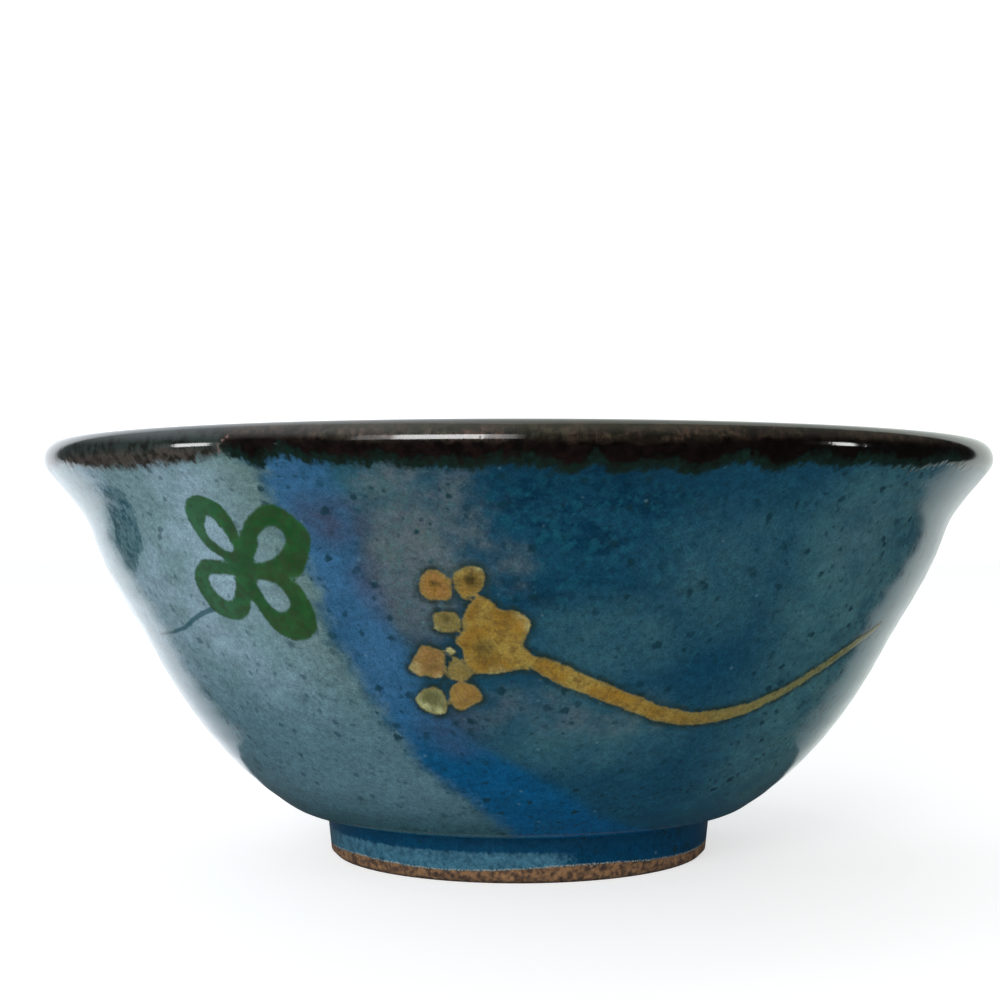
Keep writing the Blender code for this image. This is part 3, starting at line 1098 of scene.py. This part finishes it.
def paint_maps(wall):
    """Every map the glaze needs: distances in millimetres inside a shape, or amounts from 0 to 1."""
    gold, gold_tints = spray(wall)
    angle = wall.everywhere(wall.angle)
    on_foot = smooth(FOOT_HEIGHT + 0.4, FOOT_HEIGHT - 0.4, wall.height)
    on_foot = on_foot * smooth(44.0, 43.0, wall.radius)
    outer_distances = {
        "green": clover(wall),
        "gold": gold,
        "dip": pale_dip(wall),
        "patch": teal_patches(wall),
        "seam": brushed(wall, RIM_SEAM),
    }
    outer_amounts = {
        **gold_tints,
        "cobalt": cobalt_run(wall),
        "violet": patches(wall, VIOLET_SPOTS),
        "brown": patches(wall, BROWN_SPOTS),
        "teal": patches(wall, TEAL_SPOTS),
        "grey": patches(wall, GREY_SPOTS),
        "thin": smooth(SEAM_ANGLE, SEAM_ANGLE - 0.8, angle) * smooth(-150, -100, angle),
        "worn_foot": smooth(1.0, 0.3, wall.height),
        # Painted shade with some pooled glaze: the pale glaze darker low on the belly
        "low": smooth(14, -20, wall.climb),
        "deep": smooth(0, -22, wall.climb),
        # Painted shade with some pooled glaze: darkest nearest the foot
        "lowest": smooth(-28, -46, wall.climb),
        # The foot, painted dark: partly thick glaze, partly painted shade under the belly
        "foot": on_foot,
        "band": smooth(6.8, 5.4, wall.height) * smooth(26, 0, angle),
    }
    top_line = TOP_LINE + TOP_LINE_RISE * smooth(12.0, 26.0, np.abs(wall.angle))
    maps = {
        "faded": smooth(CLOVER_PLACE[0] + 1.0, CLOVER_PLACE[0] - 6.0, angle),
        "rim": rim_glaze(wall),
        "top": wall.climb - top_line,
        "worn": np.interp(angle, *zip(*LIP_WEAR)),
        "clay": bare_clay(wall),
        "inside": 1.0 - wall.outside,
        "pool": smooth(34, 20, wall.radius) * (1 - wall.outside),
    }
    for name, path in (("stem", CLOVER_STEM), ("gold", SPRAY_STEM)):
        outer_distances[name + "_side"], maps[name + "_half"] = long_stroke(wall, path)
    for name, values in outer_distances.items():
        maps[name] = np.where(wall.outside > 0.5, values, -LOOP_REACH)
    for name, values in outer_amounts.items():
        maps[name] = values * wall.outside
    return maps


def link(obj):
    bpy.context.scene.collection.objects.link(obj)
    return obj


def make_bowl():
    wall = Wall()
    bowl = link(bpy.data.objects.new("glazed_bowl", make_mesh(wall, paint_maps(wall))))
    bowl.data.materials.append(bowl_material())
    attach(bowl, "root")
    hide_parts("bowl")


# The stage's two sheets, in metres
FLOOR_HALF = 4.0
FLOOR_COLOUR = (0.6, 0.6, 0.6)
FLOOR_GLOW = 0.62
SHADE_RADIUS = 0.085
SHADE_HEIGHT = 0.0002
SHADE_CORNERS = 64
SHADE_COLOUR = (0.05, 0.06, 0.065)
PAPER_ROUGHNESS = 0.9


def paper(name, corners, material_name, colour):
    """A flat matt sheet and its shader."""
    mesh = bpy.data.meshes.new(name)
    mesh.from_pydata(corners, [], [range(len(corners))])
    material, shader = new_material(material_name)
    shader.inputs["Base Color"].default_value = (*colour, 1.0)
    shader.inputs["Roughness"].default_value = PAPER_ROUGHNESS
    mesh.materials.append(material)
    return link(bpy.data.objects.new(name, mesh)), shader


def make_floor():
    size = FLOOR_HALF
    corners = [(-size, -size, 0), (size, -size, 0), (size, size, 0), (-size, size, 0)]
    floor, shader = paper("floor", corners, "white_paper", FLOOR_COLOUR)
    shader.inputs["Emission Color"].default_value = (1.0, 1.0, 1.0, 1.0)
    shader.inputs["Emission Strength"].default_value = FLOOR_GLOW
    floor.visible_glossy = False


def make_shade():
    """The dim table close round the foot, as the glaze mirrors it; the camera doesn't see it."""
    turns = [2 * math.pi * i / SHADE_CORNERS for i in range(SHADE_CORNERS)]
    corners = [(SHADE_RADIUS * math.cos(t), SHADE_RADIUS * math.sin(t), SHADE_HEIGHT) for t in turns]
    shade, _ = paper("table_shade", corners, "shaded_paper", SHADE_COLOUR)
    shade.visible_camera = False
    shade.visible_diffuse = False
    shade.visible_shadow = False


def make_camera():
    data = bpy.data.cameras.new("photo_camera")
    data.sensor_width = SENSOR
    data.lens = FOCAL_PIXELS * SENSOR / FRAME_PIXELS
    data.shift_x = -(AXIS_PIXEL - FRAME_PIXELS / 2) / FRAME_PIXELS
    data.shift_y = (HORIZON_PIXEL - FRAME_PIXELS / 2) / FRAME_PIXELS
    data.clip_start = CLIP_START * MM
    camera = link(bpy.data.objects.new("photo_camera", data))
    camera.location = (0.0, -CAMERA_DISTANCE * MM, CAMERA_HEIGHT * MM)
    camera.rotation_euler = (math.pi / 2, 0.0, 0.0)
    bpy.context.scene.camera = camera


# The studio that the glaze mirrors. Where its white wall ends and changes, in degrees from the back,
# to the right; where the table and the light overhead begin, as parts of a direction; then how
# bright each is, left and right
WALL_RIGHT_END = (47, 43)
WALL_LEFT_END = (-44, -37)
WALL_CHANGE = (-15, 20)
TABLE_RISE = (-0.56, -0.18)
OVERHEAD_RISE = (0.2, 0.8)
OVERHEAD_ACROSS = (0.3, -0.6)
WALL_BRIGHTNESS = (1.33, 0.95)
WALL_TINTS = ((0.95, 1.0, 1.06), (0.94, 1.02, 0.98))
TABLE_BRIGHTNESS = (0.35, 0.15)
LEFT_DIM = 0.03
OVERHEAD_DIM = 0.2
ROOM_DIM = 0.018
GROUND_BRIGHTNESS = 1.1


def make_world():
    """A white studio: a bright wall behind, a dim room in front, a soft light from overhead."""
    world = bpy.data.worlds.new("studio")
    bpy.context.scene.world = world
    world.use_nodes = True
    n = Nodes(world.node_tree)
    toward = n.new("ShaderNodeTexCoord").outputs["Generated"]
    across, back, rise = n.new("ShaderNodeSeparateXYZ", {0: toward}).outputs
    around = n.math("ARCTAN2", across, back)
    right = n.ramp(around, *np.radians(WALL_RIGHT_END).tolist())
    left = n.ramp(around, *np.radians(WALL_LEFT_END).tolist(), LEFT_DIM)
    to_right = n.ramp(around, *np.radians(WALL_CHANGE).tolist())
    table = n.mix_values(to_right, *TABLE_BRIGHTNESS)
    above_table = n.mix_values(n.ramp(rise, *TABLE_RISE), table, 1.0)
    brightness = n.times(above_table, n.mix_values(to_right, *WALL_BRIGHTNESS))
    wall = n.times(right, left, brightness)
    overhead = n.times(n.ramp(rise, *OVERHEAD_RISE), n.ramp(across, *OVERHEAD_ACROSS, OVERHEAD_DIM))
    light = n.math("MAXIMUM", n.math("MAXIMUM", wall, overhead), ROOM_DIM)
    camera_ray = n.new("ShaderNodeLightPath").outputs["Is Camera Ray"]
    tint = n.mix(to_right, *WALL_TINTS)
    background = world.node_tree.nodes["Background"]
    n.feed(background.inputs["Color"], n.mix(camera_ray, tint, (1.0, 1.0, 1.0)))
    strength = n.math("MAXIMUM", light, n.times(camera_ray, GROUND_BRIGHTNESS))
    n.feed(background.inputs["Strength"], strength)


# What all the lights point at, near the lip, in metres
LIGHT_AIM = (0.0, 0.0, 0.08)
WINDOW_DISTANCE = 1.3
# Windows in front, which the lip mirrors as bright dashes: azimuth, elevation, width, height, watts
WINDOWS = (
    (-17.0, 15.0, 0.43, 0.46, 9.0),
    (-4.0, 15.0, 0.16, 0.46, 1.0),
    (-31.0, 15.0, 0.2, 0.46, 0.7),
    (-75.5, 1.0, 0.23, 0.28, 2.6),
    (75.0, 4.0, 0.13, 0.26, 1.6),
)
# Soft lights that the glaze doesn't mirror: name, place, watts
FILLS = (
    ("fill_left", (-0.9, -1.1, 0.5), 1.7),
    ("fill_right", (0.9, -1.2, 0.5), 1.4),
)
FILL_SIZE = (1.2, 1.0)


def area_light(name, place, size, power, glossy):
    data = bpy.data.lights.new(name, "AREA")
    data.shape = "RECTANGLE"
    data.size, data.size_y = size
    data.energy = power
    light = link(bpy.data.objects.new(name, data))
    light.location = place
    aim = np.array(LIGHT_AIM) - np.array(place)
    flat = math.hypot(aim[0], aim[1])
    light.rotation_euler = (math.atan2(flat, -aim[2]), 0.0, math.atan2(-aim[0], aim[1]))
    light.visible_camera = False
    light.visible_glossy = glossy


def make_window(azimuth, elevation, width, height, power):
    turn = math.radians(azimuth)
    rise = math.radians(elevation)
    reach = WINDOW_DISTANCE * math.cos(rise)
    up = WINDOW_DISTANCE * math.sin(rise) + LIGHT_AIM[2]
    place = (reach * math.sin(turn), -reach * math.cos(turn), up)
    area_light("window", place, (width, height), power, True)


def make_lights():
    for name, place, power in FILLS:
        area_light(name, place, FILL_SIZE, power, False)
    for window in WINDOWS:
        make_window(*window)


def main():
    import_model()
    make_bowl()
    make_floor()
    make_shade()
    make_camera()
    make_world()
    make_lights()
    bpy.context.scene.view_settings.view_transform = "Standard"


main()
